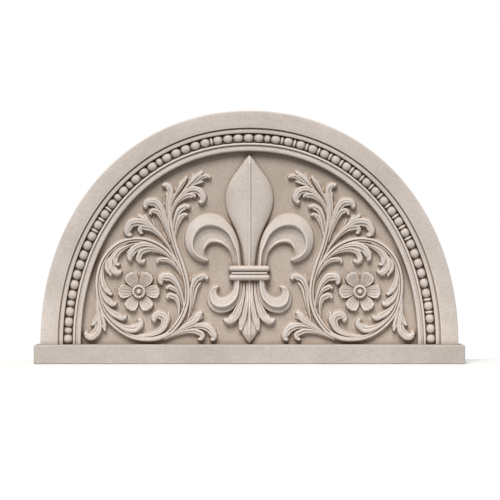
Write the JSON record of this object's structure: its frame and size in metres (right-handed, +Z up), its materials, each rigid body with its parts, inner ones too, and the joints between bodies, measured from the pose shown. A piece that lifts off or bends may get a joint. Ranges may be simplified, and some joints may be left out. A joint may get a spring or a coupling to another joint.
{
  "type": "tympanum panel",
  "caption": "Arched cast stone tympanum panel with a beaded frame, a fleur-de-lis between two leaf scrolls with rosettes, on a plain sill.",
  "frame": {"origin": "the middle of the sill's underside, the middle of the whole part's footprint", "axes": "+X to the right as the carved face is seen, +Y from the carved face to the back, +Z up; the carved face looks along -Y"},
  "size_m": [1.2, 0.09, 0.7063],
  "materials": {
    "cast_stone": "matte, fine grained, weathered beige cast stone, brown in the recesses",
    "sill_stone": "matte, fine grained beige cast stone, paler on its rounded edges"
  },
  "bodies": {
    "root": {"tympanum_panel": "cast_stone", "base_sill": "sill_stone"}
  },
  "joints": []
}
